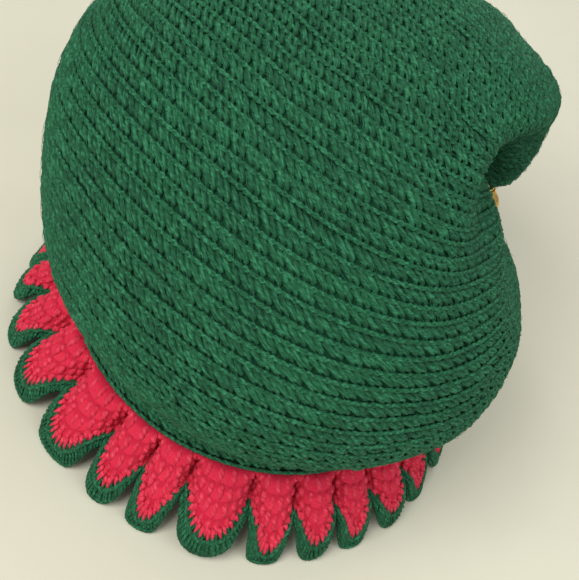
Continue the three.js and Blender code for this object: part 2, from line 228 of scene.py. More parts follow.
def frill_point(at, depth):
    """Points of the middle of the frill's cloth: at counts folds, depth runs from seam to free edge."""
    count = len(FOLDS)
    place = np.mod(at, count)
    i = np.floor(place).astype(int) % count
    t = place - np.floor(place)
    opened = max(depth, 0) ** OPENING_POWER
    along, out, swing = meander(MEANDER_ANGLE * opened)
    steps = np.linspace(0, 1, len(along))
    along, out = np.interp(t, steps, along), np.interp(t, steps, out)
    k = np.clip((depth - FLARE_FROM) / (1 - FLARE_FROM), 0, 1)
    flare = BORDER_FLARE * k * k * (3 - 2 * k)
    widened = along - flare * np.sin(2 * math.pi * along)
    spans = FOLDS[:, 0]
    before = np.concatenate([[0], np.cumsum(spans)])[i]
    turn = (before + spans[i] * widened) / spans.sum() * 2 * math.pi
    ease = (np.sin(math.pi * t) ** 2)[..., None]
    beside = FOLDS[np.where(t < 0.5, i - 1, i + 1) % count]
    fold = FOLDS[i] * ease + (FOLDS[i] + beside) / 2 * (1 - ease)
    fold_width = 2 * math.pi * EDGE["radius"] * fold[..., 0] / spans.sum()
    share = out / swing
    out = out * fold_width * fold[..., 1]
    spread = EDGE["spread"] * np.maximum(np.cos(turn - math.radians(EDGE["heading"])), 0) ** 2
    start = RIM_RADIUS - WALL / 2
    bulge = math.sin(math.pi * depth)
    tuck = SAG["tuck"] * bulge * np.minimum(share, 0) ** 2
    radius = start + (EDGE["radius"] + spread - start) * opened + out - tuck
    carried = EDGE["lift"] * fold[..., 2] * (1 + share) / 2
    bottom = EDGE["height"] + carried - swung(EDGE["crest"], EDGE["trough"], share)
    top = RIM_HEIGHT - SEAM_DROP
    height = top + (bottom - top) * depth + bulge * swung(SAG["crest"], SAG["trough"], share)
    x = -radius * np.sin(turn) + PLACE[0]
    return np.stack([x, radius * np.cos(turn) + PLACE[1], height], -1)


class Cloth:
    """A sheet of cloth as a dense grid of points: v runs from its start to its end, u goes once round."""

    def __init__(self, grid):
        self.grid = grid
        around = np.roll(grid, -1, 1) - np.roll(grid, 1, 1)
        up = np.gradient(grid, axis=0)
        normal = np.cross(up, around)
        self.normal = unit(normal)
        self.wide = self.length(0.5)
        self.tall = np.linalg.norm(np.diff(grid[:, 0], axis=0), axis=1).sum()

    def length(self, v):
        """How long the cloth is round at v, in mm."""
        ring = self.grid[int(round(np.clip(v, 0, 1) * (len(self.grid) - 1)))]
        return np.linalg.norm(np.roll(ring, -1, 0) - ring, axis=-1).sum()

    def at(self, v, u, n):
        """Points n mm off the middle of the cloth at v and u."""
        rows, cols = self.grid.shape[:2]
        y = np.clip(v, 0, 1) * (rows - 1)
        i = np.minimum(np.floor(y).astype(int), rows - 2)
        y = (y - i)[..., None]
        x = np.mod(u, 1) * cols
        j = np.floor(x).astype(int) % cols
        x = (x - np.floor(x))[..., None]
        k = (j + 1) % cols

        def mix(grid):
            low = grid[i, j] * (1 - x) + grid[i, k] * x
            high = grid[i + 1, j] * (1 - x) + grid[i + 1, k] * x
            return low * (1 - y) + high * y

        return mix(self.grid) + np.asarray(n)[..., None] * mix(self.normal)


def even_rings(point_rows, cols):
    """Each ring of points laid out again at even steps round it, from the same start."""
    made = []
    for ring in point_rows:
        closed = np.concatenate([ring, ring[:1]])
        run = run_along(closed)
        want = np.linspace(0, run[-1], cols, endpoint=False)
        made.append(np.stack([np.interp(want, run, closed[:, a]) for a in range(3)], -1))
    return np.array(made)


def bag_cloth():
    """The bag's middle layer, its rows even along the long side, as a cloth."""
    turns = np.linspace(-math.pi, math.pi, BAG_COLS + 1)[:-1]
    shares = np.linspace(0, 1, LINE_STEPS)
    line = bag_point(shares, np.zeros_like(shares), WALL / 2)
    run = run_along(line)
    even = np.interp(np.linspace(0, run[-1], BAG_ROWS), run, shares)
    rings = bag_point(even[:, None] + 0 * turns, turns + 0 * even[:, None], WALL / 2)
    smooth = Cloth(even_rings(rings, BAG_COLS))
    v = np.linspace(0, 1, BAG_ROWS)[:, None]
    turn = 2 * math.pi * np.arange(BAG_COLS) / BAG_COLS
    slack = sum(deep * np.sin(around * turn + along * v + lead) for deep, around, along, lead in SLACK)
    held = np.sin(math.pi * v) ** 0.5
    return Cloth(smooth.grid + (slack * held)[..., None] * smooth.normal), run[-1]


def frill_cloth(start, end, rows):
    """The frill between two depths as a cloth, kept off the floor by half its thickness."""
    at = np.linspace(0, len(FOLDS), FRILL_COLS + 1)[:-1]
    grid = np.array([frill_point(at, d) for d in np.linspace(start, end, rows)])
    grid[..., 2] = np.maximum(grid[..., 2], FRILL_WALL / 2)
    return Cloth(even_frill(grid))


def even_frill(grid):
    """The frill's columns at even steps along its middle ring."""
    ring = grid[len(grid) // 2]
    run = run_along(np.concatenate([ring, ring[:1]]))
    cols = len(ring)
    x = np.interp(np.linspace(0, run[-1], cols, endpoint=False), run, np.arange(cols + 1))
    j = np.floor(x).astype(int) % cols
    t = (x - np.floor(x))[None, :, None]
    return grid[:, j] * (1 - t) + grid[:, (j + 1) % cols] * t


def sweep(paths, lift, radius, tone, height, sides=5, caps=True, mark=0.0):
    """Round tubes along paths of shape (tubes, points, 3).

    The lift points outwards, and the mark is the place on the cloth.
    """
    along = unit(np.gradient(paths, axis=1))
    across = unit(np.cross(along, lift))
    out = np.cross(across, along)
    tubes, points = paths.shape[:2]
    angle = 2 * math.pi * np.arange(sides) / sides
    wide = np.broadcast_to(np.asarray(radius, float), (tubes, points))[..., None, None]
    ring = np.cos(angle)[:, None] * across[:, :, None] + np.sin(angle)[:, None] * out[:, :, None]
    verts = (paths[:, :, None] + wide * ring).reshape(-1, 3)
    t, p, s = np.meshgrid(np.arange(tubes), np.arange(points - 1), np.arange(sides), indexing="ij")
    first = (t * points + p) * sides
    n = (s + 1) % sides
    quads = np.stack([first + s, first + n, first + sides + n, first + sides + s], -1).reshape(-1, 4)
    step = np.linalg.norm(np.diff(paths, axis=1), axis=-1)
    run = np.concatenate([np.zeros((tubes, 1)), np.cumsum(step, 1)], 1)
    low, high = run[t, p], run[t, p + 1]
    here, there = s / sides, (s + 1) / sides
    uv = np.stack([low, here, low, there, high, there, high, here], -1)
    faces = [(quads, uv)]
    if caps:
        base = np.arange(tubes)[:, None] * points * sides
        last = base + (points - 1) * sides
        ends = np.concatenate([base + np.arange(sides)[::-1], last + np.arange(sides)])
        faces.append((ends, np.zeros((ends.size, 2))))
    tone = np.broadcast_to(np.asarray(tone, float).reshape(-1, 1), (tubes, points * sides))
    high = np.repeat(np.broadcast_to(height, (tubes, points)).ravel(), sides)
    mark = np.broadcast_to(mark, (tubes, points, 2)) + np.zeros((tubes, points, 2))
    ahead = unit(np.gradient(mark, axis=1))
    beside = np.stack([-ahead[..., 1], ahead[..., 0]], -1)
    mark = mark[:, :, None] + wide * np.cos(angle)[:, None] * beside[:, :, None]
    mark = mark.reshape(-1, 2)
    return {"verts": verts, "faces": faces, "tone": tone.ravel(), "height": high, "mark": mark}


def laid(cloth, inner, outer, rows, cols, closed_end):
    """The cloth itself as one closed wall from inner to outer mm off its middle."""
    v = np.linspace(0, 1, rows)[:, None] + np.zeros(cols)
    u = np.arange(cols) / cols + np.zeros((rows, 1))
    sheets = [cloth.at(v, u, outer + 0 * v), cloth.at(v, u, inner + 0 * v)]
    verts = np.concatenate([sheet.reshape(-1, 3) for sheet in sheets])
    i, j = np.meshgrid(np.arange(rows - 1), np.arange(cols), indexing="ij")
    k = (j + 1) % cols
    skin = np.stack([i * cols + j, (i + 1) * cols + j, (i + 1) * cols + k, i * cols + k], -1).reshape(-1, 4)
    lining = skin[:, ::-1] + rows * cols
    x, y = np.arange(cols), (np.arange(cols) + 1) % cols
    under = rows * cols
    start = np.stack([x, y, y + under, x + under], -1)
    end = (rows - 1) * cols + np.stack([y, x, x + under, y + under], -1)
    wide, tall = cloth.wide, cloth.tall
    flat = np.stack([u.ravel() * wide, v.ravel() * tall], -1)
    flat = np.concatenate([flat, flat])

    def mapped(faces):
        uv = flat[faces]
        turned = uv[..., 0].max(1) - uv[..., 0].min(1) > wide / 2
        uv[..., 0] += np.where(turned[:, None] & (uv[..., 0] < wide / 2), wide, 0)
        return faces, uv

    faces = [mapped(skin), mapped(lining), mapped(start)]
    if closed_end:
        poles = np.array([sheet[-1].mean(0) for sheet in sheets])
        verts = np.concatenate([verts, poles])
        flat = np.concatenate([flat, [[0, tall], [0, tall]]])
        top = (rows - 1) * cols
        faces.append(mapped(np.stack([top + y, top + x, np.full(cols, 2 * under)], -1)))
        faces.append(mapped(np.stack([top + under + x, top + under + y, np.full(cols, 2 * under + 1)], -1)))
    else:
        faces.append(mapped(end))
    height = np.full(len(verts), float(outer))
    return {"verts": verts, "faces": faces, "tone": np.zeros(len(verts)), "height": height, "mark": flat}


def blank(name, parts, material, slot, *nodes):
    """One finished piece from swept or laid parts, with its yarn map, heights that set its painted shade,
    tones and marks.
    """
    verts, height, tone, mark = (
        np.concatenate([part[key] for part in parts]) for key in ("verts", "height", "tone", "mark")
    )
    mark = np.pad(mark, ((0, 0), (0, 1)))
    loops, starts, uvs = [], [], []
    count = total = 0
    for part in parts:
        for faces, uv in part["faces"]:
            loops.append((faces + count).ravel())
            starts.append(total + faces.shape[1] * np.arange(len(faces)))
            uvs.append(uv.reshape(-1, 2))
            total += faces.size
        count += len(part["verts"])
    loops, starts, uvs = (np.concatenate(lists) for lists in (loops, starts, uvs))
    mesh = bpy.data.meshes.new(name)
    mesh.vertices.add(len(verts))
    mesh.vertices.foreach_set("co", (verts * MM).astype(np.float32).ravel())
    mesh.loops.add(len(loops))
    mesh.loops.foreach_set("vertex_index", loops.astype(np.int32))
    mesh.polygons.add(len(starts))
    mesh.polygons.foreach_set("loop_start", starts.astype(np.int32))
    mesh.uv_layers.new(name="yarn").data.foreach_set("uv", uvs.astype(np.float32).ravel())
    point_values = (
        ("height", "FLOAT", "value", height),
        ("tone", "FLOAT", "value", tone),
        ("mark", "FLOAT_VECTOR", "vector", mark),
    )
    for key, kind, field, values in point_values:
        mesh.attributes.new(key, kind, "POINT").data.foreach_set(field, values.astype(np.float32).ravel())
    mesh.update(calc_edges=True)
    if mesh.validate():
        raise RuntimeError(f"{name} has faces that fold onto each other")
    mesh.polygons.foreach_set("use_smooth", np.ones(len(mesh.polygons), bool))
    piece = bpy.data.objects.new(name, mesh)
    bpy.context.scene.collection.objects.link(piece)
    return dressed(piece, material, slot, *nodes)


def dressed(piece, material, slot, *nodes):
    """The piece with its material, riding on the hat in place of those CAD nodes."""
    piece.data.materials.clear()
    piece.data.materials.append(material)
    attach(piece, "root")
    if nodes:
        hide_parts(*nodes)
    return piece


def feed(tree, made, inputs):
    """Fills a node's inputs: a node or a socket is linked, and a value is set on the input's own socket."""
    for name, value in inputs.items():
        if isinstance(value, bpy.types.Node):
            value = value.outputs[0]
        if isinstance(value, bpy.types.NodeSocket):
            tree.links.new(value, made.inputs[name])
        else:
            made.inputs[name].default_value = value


def node(tree, kind, inputs=None, **settings):
    """Adds a shader node with its settings and its inputs."""
    made = tree.nodes.new(kind)
    for name, value in settings.items():
        setattr(made, name, value)
    feed(tree, made, inputs or {})
    return made


# Shader nodes by what they do here, and settings that several of them share.
UV_MAP = "ShaderNodeUVMap"
SPLIT = "ShaderNodeSeparateXYZ"
JOIN = "ShaderNodeCombineXYZ"
MATH = "ShaderNodeMath"
NOISE = "ShaderNodeTexNoise"
RANGE = "ShaderNodeMapRange"
MIX = "ShaderNodeMix"
READ = "ShaderNodeAttribute"
BUMP = "ShaderNodeBump"
PLACES = "ShaderNodeTexCoord"
MAPPING = "ShaderNodeMapping"
TIMES = {"operation": "MULTIPLY"}
TIMES_PLUS = {"operation": "MULTIPLY_ADD"}
EASED = {"interpolation_type": "SMOOTHSTEP"}

# The silky streaks over the yarn, painted highlights with painted shade between them: their heading from
# the rounds, and their length and width in mm.
STREAK_TURN = 0.45
STREAK = (3.6, 0.75)
# The sizes of the materials' marks: worn patches, fluff, felt, stains, scratches and mottle.
YARN_PATCH = 24 * MM
YARN_FLUFF = 0.7 * MM
CLOTH_PATCH = 12 * MM
CLOTH_FELT = 0.9 * MM
BRASS_STAIN = 4 * MM
BRASS_SCRATCH = 3 * MM
BOARD_MOTTLE = 60 * MM
# How the yarn's silky fibres lie: noise per mm along it, per turn round it, and between strands.
FIBRE_ALONG = 0.3
FIBRE_AROUND = 13.0
FIBRE_LAYER = 31.0
# The yarn's plies, how far it runs in mm for one turn of them, and how strongly its painted silky
# highlights show.
PLIES = 3
YARN_LAY = -8.0
YARN_SILK = 0.6
RED_SILK = 0.35
FLUFF_SILK = 0.3


def fresh(name, settings):
    """A new material with its tree and its shader, those values set on the shader's own sockets."""
    material = bpy.data.materials.new(name)
    material.use_nodes = True
    shader = material.node_tree.nodes["Principled BSDF"]
    feed(material.node_tree, shader, settings)
    return material, material.node_tree, shader


def plied_yarn(name, mid, light, dark, lay=YARN_LAY, silk=YARN_SILK):
    """Soft plied acrylic yarn: matt, with twisted plies; painted shade where it lies deep, in its ply
    grooves and between its silky streaks; painted highlights along the streaks; real differences of tone
    between strands and in broad patches.
    """
    cover = {"Sheen Weight": 0.25, "Sheen Roughness": 0.45, "Sheen Tint": light, "Specular IOR Level": 0.35}
    material, tree, shader = fresh(name, cover)
    split = node(tree, SPLIT, {0: node(tree, UV_MAP, uv_map="yarn")})
    tone = node(tree, READ, attribute_name="tone").outputs["Fac"]
    height = node(tree, READ, attribute_name="height").outputs["Fac"]
    twist = node(tree, MATH, {0: split, 1: 1 / lay, 2: split.outputs[1]}, **TIMES_PLUS)
    turned = node(tree, MATH, {0: twist, 1: 2 * math.pi * PLIES}, **TIMES)
    ply = node(tree, MATH, {0: turned}, operation="SINE")
    along = node(tree, MATH, {0: split, 1: FIBRE_ALONG}, **TIMES)
    across = node(tree, MATH, {0: twist, 1: FIBRE_AROUND}, **TIMES)
    layer = node(tree, MATH, {0: tone, 1: FIBRE_LAYER}, **TIMES)
    strand = node(tree, JOIN, {0: along, 1: across, 2: layer})
    fibre = node(tree, NOISE, {"Vector": strand, "Scale": 1.0, "Detail": 3.0, "Roughness": 0.6})
    place = node(tree, PLACES).outputs["Object"]
    patch = node(tree, NOISE, {"Vector": place, "Scale": 1 / YARN_PATCH, "Detail": 2.0})
    fluff = node(tree, NOISE, {"Vector": place, "Scale": 1 / YARN_FLUFF, "Detail": 4.0, "Roughness": 0.7})
    mark = node(tree, READ, attribute_name="mark").outputs["Vector"]
    laid_out = node(tree, MAPPING, {"Vector": mark, "Rotation": (0, 0, -STREAK_TURN)})
    drawn = node(tree, MAPPING, {"Vector": laid_out, "Scale": (1 / STREAK[0], 1 / STREAK[1], 1)})
    silky = {"Vector": drawn, "Scale": 1.0, "Detail": 2.0, "Roughness": 0.6, "Distortion": 0.4}
    streak = node(tree, NOISE, silky)
    # Painted shade: the lower the yarn lies off its cloth, and the deeper in a ply groove, the nearer it
    # comes to the shade colour.
    depth = node(tree, RANGE, {0: height, 1: -1.2, 2: 1.3, 3: 0.0, 4: 1.0}, **EASED)
    groove = node(tree, RANGE, {0: ply, 1: -1.0, 2: 0.2, 3: 0.55, 4: 1.0}, **EASED)
    lit = node(tree, MATH, {0: depth, 1: groove}, **TIMES)
    # Real differences of tone, between strands and in broad patches.
    lit = node(tree, MATH, {0: tone, 1: 0.07, 2: lit}, **TIMES_PLUS)
    shift = node(tree, RANGE, {0: patch, 1: 0.35, 2: 0.65, 3: -0.16, 4: 0.06})
    lit = node(tree, MATH, {0: lit, 1: shift}, operation="ADD", use_clamp=True)
    # Painted shade between the silky streaks, and painted highlights in the light colour along them.
    shade = node(tree, RANGE, {0: streak, 1: 0.3, 2: 0.52, 3: 0.45, 4: 1.0}, **EASED)
    lit = node(tree, MATH, {0: lit, 1: shade}, **TIMES)
    body = node(tree, MIX, {0: lit, 6: dark, 7: mid}, data_type="RGBA").outputs[2]
    bright = node(tree, MATH, {0: fibre, 1: 0.35, 2: streak}, **TIMES_PLUS)
    glint = node(tree, RANGE, {0: bright, 1: 0.66, 2: 0.8, 3: 0.0, 4: silk}, **EASED)
    glint = node(tree, MATH, {0: glint, 1: lit}, **TIMES)
    colour = node(tree, MIX, {0: glint, 6: body, 7: light}, data_type="RGBA").outputs[2]
    rough = node(tree, RANGE, {0: fibre, 1: 0.3, 2: 0.8, 3: 0.85, 4: 0.55})
    relief = node(tree, MATH, {0: ply, 1: 0.3, 2: fibre}, **TIMES_PLUS)
    relief = node(tree, MATH, {0: fluff, 1: 0.45, 2: relief}, **TIMES_PLUS)
    bump = node(tree, BUMP, {"Strength": 0.8, "Distance": 0.5 * MM, "Height": relief})
    feed(tree, shader, {"Base Color": colour, "Roughness": rough, "Normal": bump})
    return material


def matted_cloth(name, mid, light, dark, stitch, row):
    """Brushed acrylic cloth between the stitches: matt and felted, with painted shade towards the stitches'
    feet and painted glints of its fibres in the light colour.
    """
    cover = {"Sheen Weight": 0.3, "Sheen Roughness": 0.5, "Sheen Tint": light, "Specular IOR Level": 0.2}
    material, tree, shader = fresh(name, cover)
    split = node(tree, SPLIT, {0: node(tree, UV_MAP, uv_map="yarn")})
    place = node(tree, PLACES).outputs["Object"]
    patch = node(tree, NOISE, {"Vector": place, "Scale": 1 / CLOTH_PATCH, "Detail": 3.0})
    loose = {"Vector": place, "Scale": 1 / CLOTH_FELT, "Detail": 5.0, "Roughness": 0.7, "Distortion": 1.2}
    fibre = node(tree, NOISE, loose)
    posts = node(tree, MATH, {0: split, 1: 2 * math.pi / stitch}, **TIMES)
    posts = node(tree, MATH, {0: posts}, operation="SINE")
    rounds = node(tree, MATH, {0: split.outputs[1], 1: row}, operation="DIVIDE")
    rounds = node(tree, MATH, {0: rounds}, operation="FRACT")
    # Painted shade towards the stitches' feet, where the holes are.
    foot = node(tree, RANGE, {0: rounds, 1: 0.25, 2: 0.5, 3: 0.0, 4: 1.0}, **EASED)
    lit = node(tree, RANGE, {0: patch, 1: 0.25, 2: 0.75, 3: 0.4, 4: 0.8})
    lit = node(tree, MATH, {0: lit, 1: foot}, **TIMES)
    body = node(tree, MIX, {0: lit, 6: dark, 7: mid}, data_type="RGBA").outputs[2]
    # Painted highlights: the fibres' glints in the light colour.
    glint = node(tree, RANGE, {0: fibre, 1: 0.5, 2: 0.8, 3: 0.0, 4: 0.5})
    glint = node(tree, MATH, {0: glint, 1: lit}, **TIMES)
    colour = node(tree, MIX, {0: glint, 6: body, 7: light}, data_type="RGBA").outputs[2]
    rough = node(tree, RANGE, {0: fibre, 1: 0.3, 2: 0.8, 3: 0.95, 4: 0.75})
    relief = node(tree, MATH, {0: posts, 1: 0.25, 2: fibre}, **TIMES_PLUS)
    bump = node(tree, BUMP, {"Strength": 0.6, "Distance": 0.6 * MM, "Height": relief})
    feed(tree, shader, {"Base Color": colour, "Roughness": rough, "Normal": bump})
    return material


def tumbled_brass(name, mid, worn):
    """Pressed and tumbled brass: a soft gold shine with fine scratches and browner stains."""
    material, tree, shader = fresh(name, {"Metallic": 1.0})
    place = node(tree, PLACES).outputs["Object"]
    stain = node(tree, NOISE, {"Vector": place, "Scale": 1 / BRASS_STAIN, "Detail": 5.0, "Roughness": 0.6})
    stretched = node(tree, MAPPING, {"Vector": place, "Scale": (1.0, 1.0, 14.0)})
    fine = {"Vector": stretched, "Scale": 1 / BRASS_SCRATCH, "Detail": 6.0, "Roughness": 0.7}
    scratch = node(tree, NOISE, fine)
    share = node(tree, RANGE, {0: stain, 1: 0.45, 2: 0.75, 3: 0.0, 4: 1.0})
    colour = node(tree, MIX, {0: share, 6: mid, 7: worn}, data_type="RGBA").outputs[2]
    rough = node(tree, RANGE, {0: scratch, 1: 0.3, 2: 0.7, 3: 0.2, 4: 0.4})
    bump = node(tree, BUMP, {"Strength": 0.15, "Distance": 0.1 * MM, "Height": scratch})
    feed(tree, shader, {"Base Color": colour, "Roughness": rough, "Normal": bump})
    return material


def painted_board(name, colour, grain):
    """Matt painted board: even and pale, with a faint mottle."""
    material, tree, shader = fresh(name, {"Roughness": 0.9, "Specular IOR Level": 0.1})
    place = node(tree, PLACES).outputs["Object"]
    mottle = node(tree, NOISE, {"Vector": place, "Scale": 1 / BOARD_MOTTLE, "Detail": 3.0})
    share = node(tree, RANGE, {0: mottle, 1: 0.3, 2: 0.7, 3: 0.0, 4: 1.0})
    mixed = node(tree, MIX, {0: share, 6: colour, 7: grain}, data_type="RGBA").outputs[2]
    feed(tree, shader, {"Base Color": mixed})
    return material


# A crown stitch seen from outside: places across in stitch widths, up in row heights, and mm off the cloth.
# Two strands stand side by side, close at the foot and spread at the head. A third winds round them.
STRANDS = np.array(
    [
        [(0.19, 0.10, -1.1), (0.10, 0.34, 0.4), (0.17, 0.66, 0.7), (0.35, 1.0, -0.2)],
        [(0.49, 0.10, -1.0), (0.55, 0.34, 0.6), (0.66, 0.66, 0.9), (0.88, 1.0, 0.0)],
    ]
)
STRAND_SWELL = np.array([0.8, 1.0, 1.1, 0.9])
WRAP = np.array([(1.02, 0.72, 0.1), (0.68, 0.56, 1.3), (0.32, 0.42, 1.2), (0.0, 0.32, 0.0)])
# The top of a round: two strands laid round each other, one turn to a stitch.
CHAIN_STEPS = 3
CROWN_SHAPE = {
    "slant": 0.6, "lift": 1.0, "strand": 1.35, "wrap": 0.95, "wander": 0.075, "chain_wide": 0.09,
    "chain_out": 1.0, "chain_deep": 0.35, "chain": 0.85, "sway_across": 0.04, "sway_up": 0.02,
    "sway_out": 0.2, "sway_width": 0.07,
}
# The tone of the round tops, a little lighter as a painted highlight on the ridges, and how far their
# hollows are lifted out of the painted shade.
CHAIN_TONE = 0.9
CHAIN_LIFT = 0.5
# The fewest stitches in a round.
FEWEST = 6
# The loose fibres: length, how far they stand off and radius in mm, and how much turn and bend vary.
FIBRE_LENGTH = 7.0
FIBRE_OUT = 2.2
FIBRE_RADIUS = 0.11
FIBRE_TURN = 0.28
FIBRE_BEND = 0.5
FIBRE_POINTS = 4


def slow_noise(count, rng):
    """A slow random wave over a round of count stitches, the same at both ends."""
    knots = max(4, count // 6)
    values = rng.normal(0, 1, knots + 1)
    values[-1] = values[0]
    return np.interp(np.arange(count + 1), np.linspace(0, count, knots + 1), values)


def run_of_yarn(cloth, u, v, n, radius, tone, height=None, sides=5, caps=True):
    """Strands laid on a cloth along places u, v and n mm off it."""
    paths = cloth.at(v, u, n)
    lift = cloth.at(v, u, n + 1) - paths
    mark = np.stack(np.broadcast_arrays(u * cloth.wide, v * cloth.tall), -1)
    # The height, mm off the cloth unless given, sets how much painted shade the yarn takes.
    return sweep(paths, lift, radius, tone, n if height is None else height, sides, caps, mark)


def twisted_pair(cloth, v, count, first, wide, n, deep, radius, drift=0.0):
    """Two strands laid round each other along a ring of the cloth, one turn to a stitch."""
    steps = np.arange(count * CHAIN_STEPS + 1) / CHAIN_STEPS
    made = []
    for phase in (0, math.pi):
        turn = (2 * math.pi * steps + phase)[None]
        u = ((steps + first) / count)[None]
        out = n + deep * np.sin(turn)
        at = v + wide * np.cos(turn) + drift
        high = np.abs(out) + CHAIN_LIFT
        made.append(run_of_yarn(cloth, u, at, out, radius, CHAIN_TONE, high, sides=4, caps=False))
    return made


def stitch_round(cloth, low, high, count, shape, rng):
    """The strands and top of one round of count stitches between two heights of the cloth."""
    step = high - low
    k = np.arange(count)[:, None]
    first = rng.random()
    sway = rng.normal(0, 1, (count, 5))
    wander = shape["wander"] * slow_noise(count, rng)
    parts = []
    forms = [(form, shape["strand"] * STRAND_SWELL) for form in STRANDS] + [(WRAP, shape["wrap"])]
    for i, (form, swell) in enumerate(forms):
        lean = shape["slant"] * (form[:, 1] - 0.5)
        u = (k + first + form[:, 0] + lean + shape["sway_across"] * sway[:, :1]) / count
        v = low + step * (form[:, 1] + shape["sway_up"] * sway[:, 1:2] + wander[:-1, None])
        n = shape["lift"] * form[:, 2] + shape["sway_out"] * sway[:, 2:3]
        width = swell * (1 + shape["sway_width"] * sway[:, 3:4])
        parts.append(run_of_yarn(cloth, u, v, n, width, sway[:, (i + 3) % 5], sides=4))
    steps = np.arange(count * CHAIN_STEPS + 1) / CHAIN_STEPS
    drift = step * np.interp(steps, np.arange(count + 1), wander)[None]
    wide = step * shape["chain_wide"]
    out, deep, radius = shape["chain_out"], shape["chain_deep"], shape["chain"]
    return parts + twisted_pair(cloth, low, count, first, wide, out, deep, radius, drift)


def loose_fibres(cloth, count, rng):
    """Fine loose fibres that lie over the cloth, most of them along its streaks."""
    v = rng.uniform(0.01, 0.97, count)
    u = rng.random(count)
    places = np.linspace(0, 1, LENGTH_STEPS)
    wide = np.array([cloth.length(x) for x in places])
    round_here = np.interp(v, places, wide)
    turn = STREAK_TURN + rng.normal(0, FIBRE_TURN, count)
    long = FIBRE_LENGTH * rng.uniform(0.5, 1.4, count)
    bend = rng.normal(0, FIBRE_BEND, count)
    t = np.linspace(-0.5, 0.5, FIBRE_POINTS)
    angle = turn[:, None] + bend[:, None] * t
    us = u[:, None] + long[:, None] * t * np.cos(angle) / round_here[:, None]
    vs = v[:, None] + long[:, None] * t * np.sin(angle) / cloth.tall
    n = FIBRE_OUT * (0.8 + 0.5 * rng.random(count)[:, None] - 1.6 * t**2)
    return run_of_yarn(cloth, us, vs, n, FIBRE_RADIUS, rng.normal(0, 1, count), 0 * n + 1.5, sides=3)


def on_floor(part):
    """The part with nothing below the floor."""
    part["verts"][:, 2] = np.maximum(part["verts"][:, 2], 0)
    return part


def modified(piece, kind, **settings):
    """The piece with one modifier added with its settings and applied."""
    modifier = piece.modifiers.new(kind, kind)
    for name, value in settings.items():
        setattr(modifier, name, value)
    bpy.ops.object.select_all(action="DESELECT")
    piece.select_set(True)
    bpy.context.view_layer.objects.active = piece
    bpy.ops.object.modifier_apply(modifier=modifier.name)


def cut_away(piece, cutter):
    """The piece with the cutter's space taken out; the cutter is gone afterwards."""
    modified(piece, "BOOLEAN", operation="DIFFERENCE", solver="EXACT", object=cutter)
    bpy.data.objects.remove(cutter)


def size_property(name, description, mm):
    """A length that the panel shows, from mm."""
    return FloatProperty(name=name, description=description, default=mm * MM, unit="LENGTH")


def colour_property(name, hex_colour):
    """A colour that the panel shows, from its sRGB hex."""
    settings = {"subtype": "COLOR", "size": 4, "min": 0, "max": 1}
    return FloatVectorProperty(name=name, description=name, default=linear(hex_colour), **settings)


class HatSizes(bpy.types.PropertyGroup):
    """Sizes of the yarn and its stitches."""

    stitch_width: size_property("Stitch width", "Width of one crown stitch", 7.4)
    row_height: size_property("Round height", "Height of one crown round", 8.2)
    red_width: size_property("Frill stitch width", "Width of one red stitch", 4.2)
    red_height: size_property("Frill round height", "Height of one red round", 6.0)
    rib_pitch: size_property("Edging pitch", "Distance between edging stitches", 3.7)
    fibres: IntProperty(name="Loose fibres", description="Loose fibres on the crown", default=4400)
    seed: IntProperty(name="Seed", description="Start of the stitches' small differences", default=7)


class HatColours(bpy.types.PropertyGroup):
    """Colours of the yarn with its painted highlights and its painted shade, and of the bell."""

    # The third colour of each yarn is painted shade: the yarn and its cloth darken towards it where they
    # lie deep, in the ply grooves and at the stitches' feet.
    green: colour_property("Green yarn", "#125d3a")
    green_light: colour_property("Green yarn's highlights", "#3c9069")
    green_dark: colour_property("Green yarn's painted shade", "#083b25")
    red: colour_property("Red yarn", "#e02b4a")
    red_light: colour_property("Red yarn's highlights", "#ff6a84")
    red_dark: colour_property("Red yarn's painted shade", "#c41d3c")
    brass: colour_property("Brass", "#d9b25f")
    brass_worn: colour_property("Brass in its hollows", "#8d6a30")


def shades(context, yarn):
    """A yarn's colour, its painted highlights' and its painted shade's."""
    hues = context.scene.elf_hat_colours
    return [getattr(hues, yarn + part) for part in ("", "_light", "_dark")]


# The cloth behind the stitches as a wall: its two faces in mm off the middle, and how finely it is laid.
CROWN_BACK = {"inner": -1.9, "outer": -0.3, "rows": 96, "cols": 192, "closed_end": True}
RED_BACK = {"inner": -1.3, "outer": 1.3, "rows": 14, "cols": 1120, "closed_end": False}
EDGING_BACK = {"inner": -0.9, "outer": 0.9, "rows": 6, "cols": 1200, "closed_end": False}


